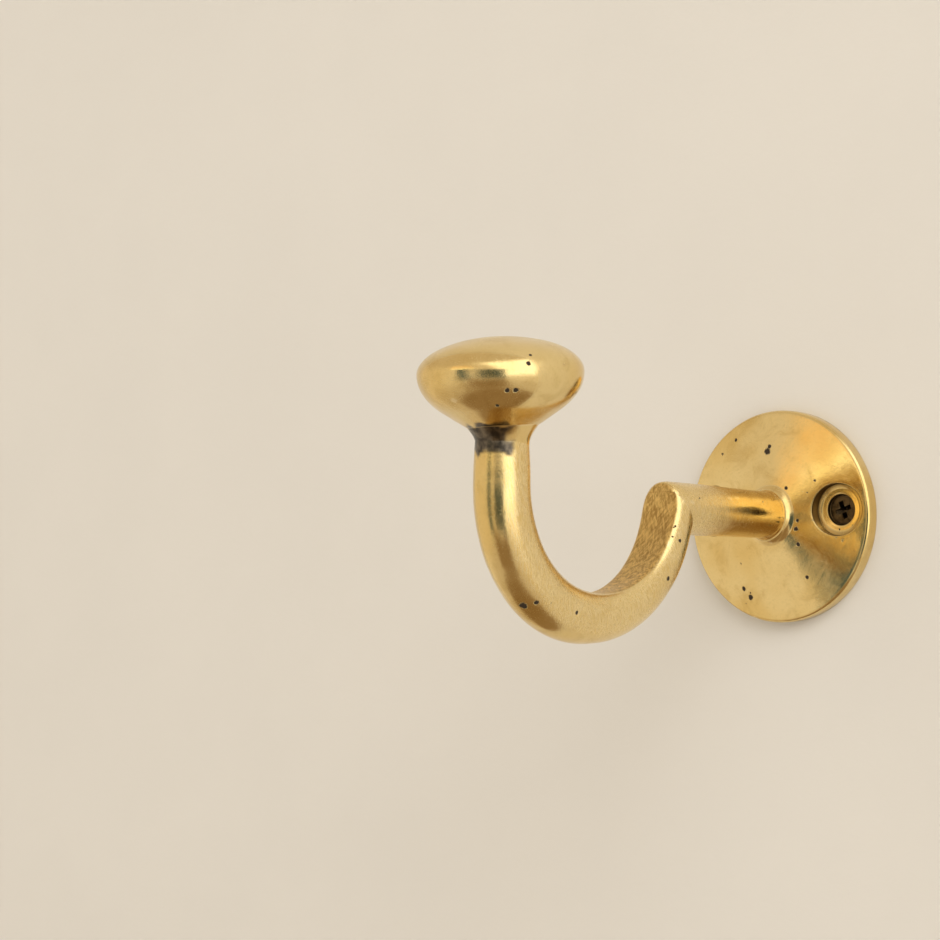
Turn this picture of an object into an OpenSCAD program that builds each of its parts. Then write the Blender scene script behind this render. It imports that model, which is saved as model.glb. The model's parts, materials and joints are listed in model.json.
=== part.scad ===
// Wall hat-and-coat hook in brass.
// A round bar stands out from a coned round plate, turns down at a mitred elbow,
// runs round a U bend and carries a flattened knob. Two countersunk screws hold it to the wall.
// The wall is the plane y = 0 and the hook stands out towards -Y, with +Z up.
// The origin is the centre of the plate's back face.

/* [Wall plate] */
// Diameter of the wall plate
plate_d = 44; // [43:0.2:50]
// Thickness of the plate at its rim
rim_t = 3.1; // [2.8:0.1:4]
// Radius of the rounded front edge of the rim
rim_edge_r = 0.9; // [0.4:0.1:1.2]
// Angle by which the front face cones up towards the post
cone_deg = 11.5; // [8:0.5:14]

/* [Bar] */
// Diameter of the bar that makes the post and the arm
rod_d = 10.2; // [8:0.2:11]
// Distance from the wall to the middle of the elbow
elbow_out = 40.5; // [34:0.5:50]
// Radius of the U bend, at the middle of the bar
bend_r = 24.6; // [20:0.2:28]
// Height of the centre of the U bend above the post's axis
bend_up = 4.8; // [2:0.1:6]
// Depth filed off the inside of the bend at its lowest point
palm_depth = 0.7; // [0.3:0.1:1]
// How far the filed hollow is moved back towards the elbow, where it bites deeper
palm_shift = 1.5; // [1.1:0.05:1.7]
// How much thinner the bar is, in radius, where it meets the knob
neck_taper = 0.3; // [0.1:0.05:0.5]

/* [Knob] */
// Diameter of the knob at its widest
knob_d = 29.8; // [24:0.2:34]
// Height of the knob's crown above its widest circle
knob_crown = 6.6; // [5:0.1:9]
// Depth of the curve under the widest circle
knob_belly = 9.5; // [8:0.1:12]
// Height of the knob's widest circle above the post's axis
knob_up = 23.5; // [21:0.1:30]

/* [Screws] */
// Distance between the middles of the two screw holes
screw_pitch = 30.4; // [28:0.2:31]
// Height of the line through the two screw holes above the plate's centre
screw_up = 1.2; // [-1.5:0.1:1.5]
// Diameter of the counterbore that the screw head lies in
counterbore_d = 10.6; // [9:0.1:11.2]
// Diameter of the bore round the screw head
head_bore_d = 6.3; // [6.1:0.1:7]
// Diameter of the screw's plain shank
shank_d = 3.3; // [3:0.1:3.5]
// Length of the screw from its head's face to its tip
screw_l = 30; // [20:1:40]

/* [Hidden] */
plate_r = plate_d / 2;
rod_r = rod_d / 2;
// How far a cutting shape reaches past the face it cuts
cut = 0.5;
// Half the size of the blocks that divide the bar at the elbow
big = 60;
// Room between pieces that fit into each other
gap = 0.05;

// Plate: the cone leaves the rounded rim as a tangent and ends at the post.
edge_out = rim_t - rim_edge_r * (1 - cos(cone_deg));
edge_centre_r = plate_r - rim_edge_r;
cone_start_r = edge_centre_r + rim_edge_r * sin(cone_deg);
cone_start_out = edge_out - rim_edge_r + rim_edge_r * cos(cone_deg);
crown_t = cone_out(rod_r);

// Elbow: the bend runs on through the joint, which halves the angle between post and arm.
enter_deg = asin(bend_up / bend_r);
run_on_deg = 20;
bend_out = elbow_out + bend_r * cos(enter_deg);
front_out = bend_out + bend_r;
mitre_deg = 45 + enter_deg / 2;
elbow_filler_t = 0.3;

// Filed hollow: a round cut across the bend, deepest at the elbow and gone at the front leg.
palm_r = bend_r - rod_r + palm_depth;

// Knob: curve under the widest circle, then a straight cone down to the bar.
knob_r = knob_d / 2;
belly_end_deg = 45;
belly_end_r = knob_r * cos(belly_end_deg);
belly_end_up = -knob_belly * sin(belly_end_deg);
underside_slope = knob_r / knob_belly * tan(belly_end_deg);
neck_r = rod_r - neck_taper;
neck_up = belly_end_up - (belly_end_r - neck_r) / underside_slope;
arm_top = knob_up + neck_up;
tenon_d = 6;
tenon_l = 8;
socket_room = 0.3;
socket_l = tenon_l + socket_room;

// Filler metal: rings with a hollow face in the two round corners.
plate_fillet_w = 1.2;
plate_fillet_h = 1.6;
neck_fillet_w = 1.7;
neck_fillet_h = 2.4;

// Front leg: a slight cone that starts a little inside the bend, a hair thinner, and narrows to the neck.
leg_step_in = 0.03;
leg_overlap = 1;
leg_foot_r = rod_r - leg_step_in;
leg_foot_up = bend_up - leg_overlap;
leg_taper = (leg_foot_r - neck_r) / (arm_top - leg_foot_up);

// Post: a spigot through the plate, dressed flush with the plate's back.
spigot_d = 6.4;

// Screw holes: dished floor, bore round the head, seat, then clearance for the shank.
floor_out = 2.9;
floor_dish = 0.3;
shank_room = 0.2;
hole_d = shank_d + shank_room;
seat_out = 0.35;
head_bore_floor = seat_out + (head_bore_d - hole_d) / 2;

// Screw: the head's cone follows the seat with a small gap, and the shank narrows a little
// on its way through the plate.
head_room = 0.15;
head_land = 0.15;
head_r = head_bore_d / 2 - head_room;
head_edge_out = seat_out + head_r - hole_d / 2 + gap;
head_face_out = head_edge_out + head_land;
cone_foot_out = head_edge_out - (head_r - shank_d / 2);
taper_end_out = -0.3;
stud_relief = 0.05;
stud_r = shank_d / 2 - stud_relief;
plain_l = 9;
thread_pitch = 1.6;
thread_depth = 0.45;
root_from = 0.35;
root_to = 0.65;
tip_l = 4;
thread_turns = floor((screw_l - head_face_out - plain_l - tip_l) / thread_pitch + 1);
tip_out = head_face_out - screw_l;
recess_w = 1;
recess_span = 3.6;
recess_depth = 1.2;
right_recess_deg = 20;
left_recess_deg = 55;

// Points along each curved outline.
edge_steps = 5;
belly_steps = 7;
crown_steps = 13;
first_crown_deg = 90 / crown_steps;
fillet_steps = 8;

$fn = 96;

brass = [0.83, 0.66, 0.33];
filler = [0.72, 0.66, 0.52];
dark_bronze = [0.33, 0.26, 0.17];

// Distance of the plate's coned face from the wall, at radius r.
function cone_out(r) = cone_start_out + (cone_start_r - r) * tan(cone_deg);

// Points on an ellipse with half-axes rx and ry, from angle a0 to a1.
function curve(cx, cy, rx, ry, a0, a1, steps) =
    [for (i = [0:steps]) let (a = a0 + (a1 - a0) * i / steps) [cx + rx * cos(a), cy + ry * sin(a)]];

// Hollow corner face from a point w out along one side to a point h up the other.
// foot_rise is how far the first side climbs, and lean how far the second side moves out.
function fillet(r, w, foot_rise, h, lean) =
    [for (i = [0:fillet_steps]) let (a = 90 * i / fillet_steps)
        [r + w * (1 - sin(a)) + lean * (1 - cos(a)), foot_rise * (1 - sin(a)) + h * (1 - cos(a))]];

// Children's z becomes the way out of the wall, and their y becomes up.
module out_of_wall() {
    rotate([90, 0, 0]) children();
}

// Children's x becomes the way out of the wall and their y becomes up: the hook's side view.
module side_view() {
    rotate([90, 0, -90]) children();
}

// Puts children at one screw hole; turn is 0 for the right hole and 180 for the left.
module at_screw(turn) {
    out_of_wall() translate([0, screw_up, 0]) rotate(turn) translate([screw_pitch / 2, 0, 0]) children();
}

// Everything on one side of the elbow's joint: side 1 holds the post, side -1 the arm.
module elbow_side(side) {
    translate([elbow_out, 0, 0])
        rotate(mitre_deg)
            translate([0, side * (big + elbow_filler_t / 2), 0])
                cube(2 * big, center = true);
}

// The hollow filed round the inside of the bend.
module palm_cut() {
    translate([bend_out - palm_shift, bend_up, 0])
        cylinder(r = palm_r, h = 2 * rod_d, center = true, $fn = 180);
}

// The void one screw needs in the plate, along z from the wall outwards.
module screw_void() {
    rotate_extrude()
        polygon([
            [0, -cut],
            [hole_d / 2, -cut],
            [hole_d / 2, seat_out],
            [head_bore_d / 2, head_bore_floor],
            [head_bore_d / 2, floor_out - floor_dish],
            [counterbore_d / 2, floor_out],
            [counterbore_d / 2, crown_t + cut],
            [0, crown_t + cut]
        ]);
}

module back_plate() {
    color(brass)
        out_of_wall()
            difference() {
                rotate_extrude($fn = 144)
                    polygon(concat(
                        [[0, 0], [plate_r, 0]],
                        curve(edge_centre_r, edge_out - rim_edge_r, rim_edge_r, rim_edge_r,
                              0, 90 - cone_deg, edge_steps),
                        [[rod_r, crown_t], [0, crown_t]]
                    ));
                translate([0, 0, -cut])
                    cylinder(d = spigot_d + 2 * gap, h = crown_t + 2 * cut);
                for (side = [-1, 1])
                    translate([side * screw_pitch / 2, screw_up, 0])
                        screw_void();
            }
}

module post() {
    color(brass) {
        difference() {
            intersection() {
                out_of_wall()
                    translate([0, 0, crown_t])
                        cylinder(r = rod_r, h = elbow_out - crown_t + rod_d);
                side_view() elbow_side(1);
            }
            side_view() palm_cut();
        }
        out_of_wall() cylinder(d = spigot_d, h = crown_t + cut);
    }
}

module plate_braze() {
    foot = cone_out(rod_r + plate_fillet_w) - crown_t;
    color(filler)
        out_of_wall()
            translate([0, 0, crown_t])
                rotate_extrude()
                    polygon(concat(
                        [[rod_r, 0]],
                        fillet(rod_r, plate_fillet_w, foot, plate_fillet_h, 0)
                    ));
}

module elbow_braze() {
    color(filler)
        side_view()
            difference() {
                intersection() {
                    rotate([0, 90, 0])
                        cylinder(r = rod_r, h = elbow_out + rod_d);
                    translate([elbow_out, 0, 0])
                        rotate(mitre_deg)
                            cube([big, elbow_filler_t, big], center = true);
                }
                palm_cut();
            }
}

// The bar's bent run: the U bend, past the elbow's joint at one end, and the front leg.
module bent_bar() {
    translate([bend_out, bend_up, 0])
        rotate(180 + enter_deg - run_on_deg)
            rotate_extrude(angle = 180 - enter_deg + run_on_deg)
                translate([bend_r, 0])
                    circle(r = rod_r);
    translate([front_out, leg_foot_up, 0])
        rotate([-90, 0, 0])
            cylinder(r1 = leg_foot_r, r2 = neck_r, h = arm_top - leg_foot_up);
}

module arm() {
    color(brass)
        side_view() {
            difference() {
                intersection() {
                    bent_bar();
                    elbow_side(-1);
                }
                palm_cut();
            }
            translate([front_out, arm_top - cut, 0])
                rotate([-90, 0, 0])
                    cylinder(d = tenon_d, h = tenon_l + cut);
        }
}

module neck_braze() {
    foot = neck_fillet_w / underside_slope;
    color(filler)
        translate([0, -front_out, arm_top])
            rotate_extrude()
                polygon(concat(
                    [[neck_r, 0]],
                    fillet(neck_r, neck_fillet_w, foot, -neck_fillet_h, leg_taper * neck_fillet_h)
                ));
}

module knob() {
    color(brass)
        translate([0, -front_out, knob_up])
            difference() {
                rotate_extrude()
                    polygon(concat(
                        [[0, neck_up], [neck_r, neck_up]],
                        curve(0, 0, knob_r, knob_belly, -belly_end_deg, 0, belly_steps),
                        curve(0, 0, knob_r, knob_crown, first_crown_deg, 90, crown_steps)
                    ));
                translate([0, 0, neck_up - cut])
                    cylinder(d = tenon_d + 2 * gap, h = socket_l + cut);
            }
}

// Thread as a stack of rings: crest, root, crest, going down the shank.
function thread_rings(r, top) =
    [for (i = [0:thread_turns - 1]) each [
        [r, top - i * thread_pitch],
        [r - thread_depth, top - (i + root_from) * thread_pitch],
        [r - thread_depth, top - (i + root_to) * thread_pitch]
    ]];

// One screw, its axis along z with the tip pointing into the wall.
module wall_screw() {
    thread_top = head_face_out - plain_l;
    difference() {
        rotate_extrude($fn = 48)
            polygon(concat(
                [[0, head_face_out], [head_r, head_face_out], [head_r, head_edge_out]],
                [[shank_d / 2, cone_foot_out], [stud_r, taper_end_out]],
                thread_rings(stud_r, thread_top),
                [[stud_r, thread_top - thread_turns * thread_pitch], [0, tip_out]]
            ));
        for (turn = [0, 90])
            rotate(turn)
                translate([-recess_span / 2, -recess_w / 2, head_face_out - recess_depth])
                    cube([recess_span, recess_w, recess_depth + cut]);
    }
}

module wall_screw_right() {
    color(dark_bronze) at_screw(0) rotate(right_recess_deg) wall_screw();
}

module wall_screw_left() {
    color(dark_bronze) at_screw(180) rotate(left_recess_deg) wall_screw();
}

back_plate();
post();
plate_braze();
elbow_braze();
arm();
neck_braze();
knob();
wall_screw_right();
wall_screw_left();
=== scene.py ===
"""Brass wall hook: the visual model, its materials and its studio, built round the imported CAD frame."""
import json
import math

import bmesh
import bpy
import numpy as np
from mathutils import Matrix, Vector
from mathutils.geometry import delaunay_2d_cdt


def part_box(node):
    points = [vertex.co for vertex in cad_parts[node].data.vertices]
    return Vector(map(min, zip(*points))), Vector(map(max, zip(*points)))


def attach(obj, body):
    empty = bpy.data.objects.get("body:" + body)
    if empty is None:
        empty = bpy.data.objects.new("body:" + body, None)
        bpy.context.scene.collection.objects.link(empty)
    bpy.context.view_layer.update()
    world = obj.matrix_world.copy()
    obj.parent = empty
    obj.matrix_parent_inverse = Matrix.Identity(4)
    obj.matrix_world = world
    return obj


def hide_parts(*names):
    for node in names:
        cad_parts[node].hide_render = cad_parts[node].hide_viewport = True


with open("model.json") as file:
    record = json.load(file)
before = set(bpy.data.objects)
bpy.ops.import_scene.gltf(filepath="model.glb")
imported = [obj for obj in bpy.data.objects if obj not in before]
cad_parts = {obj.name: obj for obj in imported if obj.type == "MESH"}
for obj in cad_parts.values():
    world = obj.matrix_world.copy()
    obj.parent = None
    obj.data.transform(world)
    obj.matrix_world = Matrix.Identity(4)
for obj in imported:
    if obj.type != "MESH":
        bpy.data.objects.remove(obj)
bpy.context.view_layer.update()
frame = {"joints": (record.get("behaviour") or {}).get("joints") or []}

# ---- Sizes ----
# In millimetres: "out" is the distance from the wall, "up" is +Z and "aside" is +X.
MM = 0.001


def box_mm(node):
    """A CAD node's box as its lowest and highest aside, out and up."""
    low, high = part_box(node)
    return (
        np.array([low.x, -high.y, low.z]) / MM,
        np.array([high.x, -low.y, high.z]) / MM,
    )


_, plate_high = box_mm("back_plate")
_, post_high = box_mm("post")
arm_low, arm_high = box_mm("arm")
knob_low, knob_high = box_mm("knob")
screw_low, screw_high = box_mm("wall_screw_right")
neck_ring_low, neck_ring_high = box_mm("neck_braze")
_, root_high = box_mm("plate_braze")

# Wall plate
PLATE_R = plate_high[0]
CROWN_OUT = plate_high[1]
CONE = math.radians(11.5)
RIM_EDGE_R = 0.9
BACK_EDGE = 0.25
BAR_R = post_high[0]
CONE_END_R = PLATE_R - RIM_EDGE_R + RIM_EDGE_R * math.sin(CONE)
SPIGOT_R = 3.2
SPIGOT_BEVEL = 0.25
BACK_TARNISH = 0.35  # how much of the holes' painted shade colour the flat back takes on, as tarnish

# Screw holes, from the joints that the two screws turn on
HOLES = [
    (joint["pos_m"][0] / MM, joint["pos_m"][2] / MM)
    for joint in frame["joints"]
]
MOUTH_R = 5.3
LIP_R = 0.25
FLOOR_OUT = 2.9
FLOOR_DISH = 0.3
FLOOR_CORNER = 0.25
FLOOR_BAND = 0.75
FLOOR_STEP = 0.12
HEAD_BORE_R = 3.15
# The rounded edge of the head's bore, as (wider, lower) than its corner
HEAD_BORE_LIP = ((0.16, 0.0), (0.04, 0.06), (0.0, 0.18))
SEAT_OUT = 0.35
SHANK_HOLE_R = 1.75

# Bar: straight post, elbow, U bend and front leg. PALM is the hollow filed round the inside of the bend.
FRONT_OUT = (knob_low[1] + knob_high[1]) / 2
BEND_R = 24.6
BEND_OUT = FRONT_OUT - BEND_R
BEND_UP = arm_low[2] + BEND_R + BAR_R
ELBOW_OUT = BEND_OUT - math.sqrt(BEND_R ** 2 - BEND_UP ** 2)
POST_RISE = 0.85
POST_THIN = 0.3
POST_SUNK = 0.1
PALM_DEPTH = 0.7
PALM_SHIFT = 1.5
PALM_R = BEND_R - BAR_R + PALM_DEPTH
PALM_OUT = BEND_OUT - PALM_SHIFT
FRONT_BULGE = 0.8
PALM_EDGE = 1.1
MITRE = math.radians(45) + math.asin(BEND_UP / BEND_R) / 2
SEAM = 0.08
SEAM_FADE = math.radians(16)
FILED_END = (math.radians(272), math.radians(300))
ELBOW_ROUND = 3.6
ROOT_W = root_high[0] - BAR_R
ROOT_H = root_high[1] - CROWN_OUT
TENON_R = 3.0
TENON_L = 8.0
TENON_BEVEL = 0.4
ARM_TOP = arm_high[2] - TENON_L
NECK_TAPER = 0.3
NECK_R = BAR_R - NECK_TAPER
NECK_RING_W = neck_ring_high[0] - NECK_R
BURNT_TURN = math.radians(-4)
BURNT_FOOT = ARM_TOP - 4.0
BURNT_TOP = ARM_TOP + 0.9

# Knob
KNOB_R = knob_high[0]
KNOB_CROWN = 6.6
KNOB_BELLY = 9.5
KNOB_UP = knob_high[2] - KNOB_CROWN
KNOB_LEAN = math.radians(3.5)

# Screws
HEAD_R = 3.0
HEAD_EDGE = 0.14
CROSS_SPAN = 3.7
CROSS_SLOT = 1.05
CROSS_DEPTH = 1.5
SHANK_R = 1.65
CORE_R = SHANK_R - 0.05
SCREW_HEAD_OUT = screw_high[1]
SCREW_TIP_OUT = screw_low[1]
THREAD_PITCH = 1.6
THREAD_DEPTH = 0.45
PLAIN_L = 9.0
TIP_L = 5.0

# Mesh fineness: points round a ring, and the length of a step along a sweep
ROUND = 128
RIM_ROUND = 288
BORE_ROUND = 64
SCREW_ROUND = 96
STEP = 0.5
SEED = 7


# ---- Mesh tools ----
def smooth_max(a, b, width):
    """The larger of a and b, with the change-over rounded across width."""
    near = np.maximum(width - np.abs(a - b), 0) / width
    return np.maximum(a, b) + near * near * width / 4


def smooth_min(a, b, width):
    """The smaller of a and b, with the change-over rounded across width."""
    return -smooth_max(-a, -b, width)


def fade(x, start, end):
    """0 before start, 1 after end and a smooth ramp between."""
    t = np.clip((x - start) / (end - start), 0, 1)
    return t * t * (3 - 2 * t)


def place(aside, out, up):
    """Points in the frame's axes, in millimetres."""
    aside, out, up = np.broadcast_arrays(aside, out, up)
    return np.stack([aside, -out, up], axis=-1)


def flat_ring(x, y, radius, out, turn):
    """Points at the angles turn, round a line that stands out from the wall at (x, y)."""
    return place(x + radius * np.cos(turn), out, y + radius * np.sin(turn))


def ripple(points, size, depth, seed):
    """A slow, seeded unevenness at each point, as hand finishing leaves: waves of about this size."""
    chance = np.random.default_rng(seed)
    total = np.zeros(points.shape[:-1])
    waves = 7
    for _ in range(waves):
        direction = chance.normal(size=3)
        direction /= np.linalg.norm(direction)
        length = size * chance.uniform(0.7, 1.8)
        phase = chance.uniform(0, 2 * math.pi)
        total += np.sin(points @ direction * (2 * math.pi / length) + phase)
    return total * depth / math.sqrt(waves)


def make_piece(name, points, faces, material, body, node_name, values=None, crisp=40):
    """A mesh object in metres that rides on a body and stands for its CAD node.

    values are named numbers for each point, and edges sharper than crisp degrees stay sharp.
    """
    mesh = bpy.data.meshes.new(name)
    mesh.from_pydata((np.asarray(points) * MM).tolist(), [], faces)
    shape = bmesh.new()
    shape.from_mesh(mesh)
    bmesh.ops.recalc_face_normals(shape, faces=shape.faces)
    shape.to_mesh(mesh)
    shape.free()
    for label, amounts in (values or {}).items():
        layer = mesh.attributes.new(label, "FLOAT", "POINT")
        layer.data.foreach_set("value", np.asarray(amounts, dtype=np.float32))
    mesh.materials.append(material)
    mesh.shade_smooth()
    mesh.set_sharp_from_angle(angle=math.radians(crisp))
    piece = bpy.data.objects.new(name, mesh)
    bpy.context.scene.collection.objects.link(piece)
    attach(piece, body)
    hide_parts(node_name)


def ring_faces(rows, cols):
    """Quads between neighbouring rings of cols points."""
    faces = []
    for row in range(rows - 1):
        for col in range(cols):
            a = row * cols + col
            b = row * cols + (col + 1) % cols
            faces.append((a, b, b + cols, a + cols))
    return faces


def closed_skin(rings):
    """Points and faces of a stack of rings whose two ends are closed with a fan."""
    rows, cols, _ = rings.shape
    points = rings.reshape(-1, 3)
    faces = ring_faces(rows, cols)
    count = rows * cols
    points = np.vstack([points, rings[0].mean(axis=0), rings[-1].mean(axis=0)])
    last = (rows - 1) * cols
    for col in range(cols):
        after = (col + 1) % cols
        faces.append((after, col, count))
        faces.append((last + col, last + after, count + 1))
    return points, faces


def looped_skin(rings):
    """Points and faces of a stack of rings whose last ring meets the first, as on a washer."""
    rows, cols, _ = rings.shape
    faces = ring_faces(rows, cols)
    last = (rows - 1) * cols
    for col in range(cols):
        after = (col + 1) % cols
        faces.append((last + col, last + after, after, col))
    return rings.reshape(-1, 3), faces


def angles(count=ROUND):
    return np.linspace(0, 2 * math.pi, count, endpoint=False)


def sheet_with_holes(outer, holes, spacing, keep):
    """A flat sheet of fine triangles between an outer outline and inner outlines.

    outer and holes are lists of (x, y) points. keep(x, y) says which loose points lie well inside the sheet.
    """
    loops = [outer] + holes
    points = [Vector(p) for loop in loops for p in loop]
    edges = []
    first = 0
    for loop in loops:
        size = len(loop)
        edges += [(first + i, first + (i + 1) % size) for i in range(size)]
        first += size
    reach = max(math.hypot(*p) for p in outer)
    rings = int(reach / spacing)
    for ring in range(1, rings):
        radius = reach * ring / rings
        count = max(8, int(2 * math.pi * radius / spacing))
        for a in angles(count) + ring * 0.5:
            x, y = radius * math.cos(a), radius * math.sin(a)
            if keep(x, y):
                points.append(Vector((x, y)))
    found, _, triangles, _, _, _ = delaunay_2d_cdt(points, edges, [], 0, 1e-7)
    xy = np.array([(p.x, p.y) for p in found])
    kept = []
    for tri in triangles:
        middle = xy[list(tri)].mean(axis=0)
        if inside(middle, outer) and not any(inside(middle, hole) for hole in holes):
            kept.append(tuple(tri))
    return xy, kept


def inside(point, loop):
    """Whether a point lies inside a closed outline."""
    loop = np.asarray(loop)
    x, y = point
    x0, y0 = loop[:, 0], loop[:, 1]
    x1, y1 = np.roll(x0, -1), np.roll(y0, -1)
    crosses = (y0 > y) != (y1 > y)
    with np.errstate(divide="ignore", invalid="ignore"):
        at = x0 + (y - y0) / (y1 - y0) * (x1 - x0)
    return bool(np.count_nonzero(crosses & (x < at)) % 2)


class Shell:
    """Collects points and faces from several patches; points that coincide are joined at the end."""

    def __init__(self):
        self.points = []
        self.faces = []

    def add(self, points, faces):
        first = len(self.points)
        self.points += [tuple(p) for p in points]
        self.faces += [tuple(first + i for i in face) for face in faces]

    def add_rings(self, rings):
        """Adds the skin through a stack of rings, open at both ends."""
        rings = np.array(rings)
        rows, cols, _ = rings.shape
        self.add(rings.reshape(-1, 3), ring_faces(rows, cols))

    def add_fan(self, ring, tip):
        """Closes a ring of points with triangles that meet at a tip."""
        count = len(ring)
        self.add(np.vstack([ring, tip]), [(i, (i + 1) % count, count) for i in range(count)])

    def welded(self):
        """The points and faces with coinciding points joined."""
        keys = {}
        order = []
        renamed = []
        for p in self.points:
            key = tuple(round(c, 4) for c in p)
            if key not in keys:
                keys[key] = len(order)
                order.append(p)
            renamed.append(keys[key])
        faces = []
        for face in self.faces:
            ids = [renamed[i] for i in face]
            ids = [a for a, b in zip(ids, ids[1:] + ids[:1]) if a != b]
            if len(set(ids)) > 2:
                faces.append(ids)
        return np.array(order), faces


# ---- Material tools ----
def feed(tree, value, socket):
    """Sets an input from another node's socket, or to a number or a colour."""
    if isinstance(value, bpy.types.NodeSocket):
        tree.links.new(value, socket)
    else:
        socket.default_value = value


def node(tree, kind, inputs=None, **settings):
    """Adds a shader node of this kind; inputs maps its inputs to what feeds them."""
    made = tree.nodes.new("ShaderNode" + kind)
    for key, value in settings.items():
        setattr(made, key, value)
    for key, value in (inputs or {}).items():
        feed(tree, value, made.inputs[key])
    return made


def rgb(r, g, b):
    return (r, g, b, 1.0)


def calc(tree, operation, a, b=0.0):
    return node(tree, "Math", {0: a, 1: b}, operation=operation).outputs[0]


def times(tree, a, b):
    return calc(tree, "MULTIPLY", a, b)


def vector_calc(tree, operation, a, b, output="Vector"):
    return node(tree, "VectorMath", {0: a, 1: b}, operation=operation).outputs[output]


def remap(tree, value, low, high, to_low=0.0, to_high=1.0):
    """A smooth, limited change of range."""
    inputs = {"Value": value, "From Min": low, "From Max": high, "To Min": to_low, "To Max": to_high}
    return node(tree, "MapRange", inputs, interpolation_type="SMOOTHSTEP").outputs[0]


def blend_colour(tree, amount, a, b):
    return node(tree, "Mix", {0: amount, 6: a, 7: b}, data_type="RGBA").outputs[2]


def blend_value(tree, amount, a, b):
    return node(tree, "Mix", {0: amount, 2: a, 3: b}, data_type="FLOAT").outputs[0]


def noise(tree, where, size_mm, detail=3.0, roughness=0.55, warp=0.0):
    """Noise whose features are about size_mm across."""
    inputs = {"Vector": where, "Scale": 1 / (size_mm * MM), "Detail": detail, "Roughness": roughness}
    return node(tree, "TexNoise", {**inputs, "Distortion": warp}).outputs["Fac"]


def stretched(tree, where, lengths, turn=(0.0, 0.0, 0.0)):
    """The place in the object for marks drawn out by these lengths along the turned axes."""
    inputs = {"Vector": where, "Scale": lengths, "Rotation": turn}
    return node(tree, "Mapping", inputs, vector_type="TEXTURE").outputs[0]


def value_of(tree, label):
    return node(tree, "Attribute", attribute_name=label).outputs["Fac"]


def new_material(name):
    material = bpy.data.materials.new(name)
    material.use_nodes = True
    tree = material.node_tree
    tree.nodes.clear()
    shader = node(tree, "BsdfPrincipled")
    node(tree, "OutputMaterial", {"Surface": shader.outputs[0]})
    where = node(tree, "TexCoord").outputs["Object"]
    return material, tree, shader, where


def bump(tree, height, strength, depth_mm, after=None):
    inputs = {"Height": height, "Strength": strength, "Distance": depth_mm * MM}
    if after is not None:
        inputs["Normal"] = after
    return node(tree, "Bump", inputs).outputs[0]


def finish_material(tree, shader, colour, rough, normal, metallic):
    inputs = {"Base Color": colour, "Roughness": rough, "Normal": normal, "Metallic": metallic}
    for label, value in inputs.items():
        feed(tree, value, shader.inputs[label])


def pits(tree, where, size_mm, share, shift):
    """Scattered round casting pits: 1 in a pit and 0 outside. About this share of the cells hold one.

    shift moves the cells, in metres, so that two layers of pits differ.
    """
    moved = vector_calc(tree, "ADD", where, (shift, 0.0, shift))
    wobble = times(tree, noise(tree, where, size_mm / 2), size_mm / 2 * MM)
    warped = vector_calc(tree, "ADD", moved, wobble)
    cells = node(tree, "TexVoronoi", {"Vector": warped, "Scale": 1 / (size_mm * MM), "Randomness": 0.9})
    pick = node(tree, "SeparateColor", {0: cells.outputs["Color"]})
    chosen = calc(tree, "GREATER_THAN", pick.outputs[0], 1.0 - share)
    width = remap(tree, pick.outputs[1], 0.0, 1.0, 0.10, 0.26)
    depth = calc(tree, "DIVIDE", cells.outputs["Distance"], width)
    bowl = remap(tree, depth, 1.0, 0.55)
    return times(tree, bowl, chosen)


def marks(tree, where, places):
    """Larger pits at given places (aside, out, up, radius): 1 inside and 0 outside, with ragged edges."""
    ragged = times(tree, noise(tree, where, 0.5, 3.0), 0.9)
    total = None
    for aside, out, up, radius in places:
        away = vector_calc(tree, "DISTANCE", where, (aside * MM, -out * MM, up * MM), "Value")
        share = calc(tree, "ADD", calc(tree, "DIVIDE", away, radius * MM), ragged)
        spot = remap(tree, share, 1.55, 1.15)
        total = spot if total is None else calc(tree, "MAXIMUM", total, spot)
    return total


BRASS_LIGHT = rgb(0.84, 0.66, 0.32)
BRASS_GOLD = rgb(0.77, 0.56, 0.22)
BRASS_DEEP = rgb(0.55, 0.37, 0.11)
BRASS_BROWN = rgb(0.20, 0.12, 0.04)
BRASS_PALE = rgb(0.93, 0.79, 0.50)
# A paler satin tone: painted sheen for the emeried sides
BRASS_SATIN_SHEEN = rgb(0.87, 0.71, 0.40)
FILED_BROWN = rgb(0.36, 0.21, 0.06)
FILED_GOLD = rgb(0.78, 0.54, 0.20)
BURNT_DARK = rgb(0.06, 0.05, 0.04)
BURNT_GREY = rgb(0.24, 0.20, 0.15)
PIT_DARK = rgb(0.035, 0.022, 0.012)
SCREW_DARK = rgb(0.05, 0.035, 0.02)
SCREW_BROWN = rgb(0.16, 0.11, 0.055)
SCREW_BARE = rgb(0.72, 0.66, 0.52)


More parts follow.
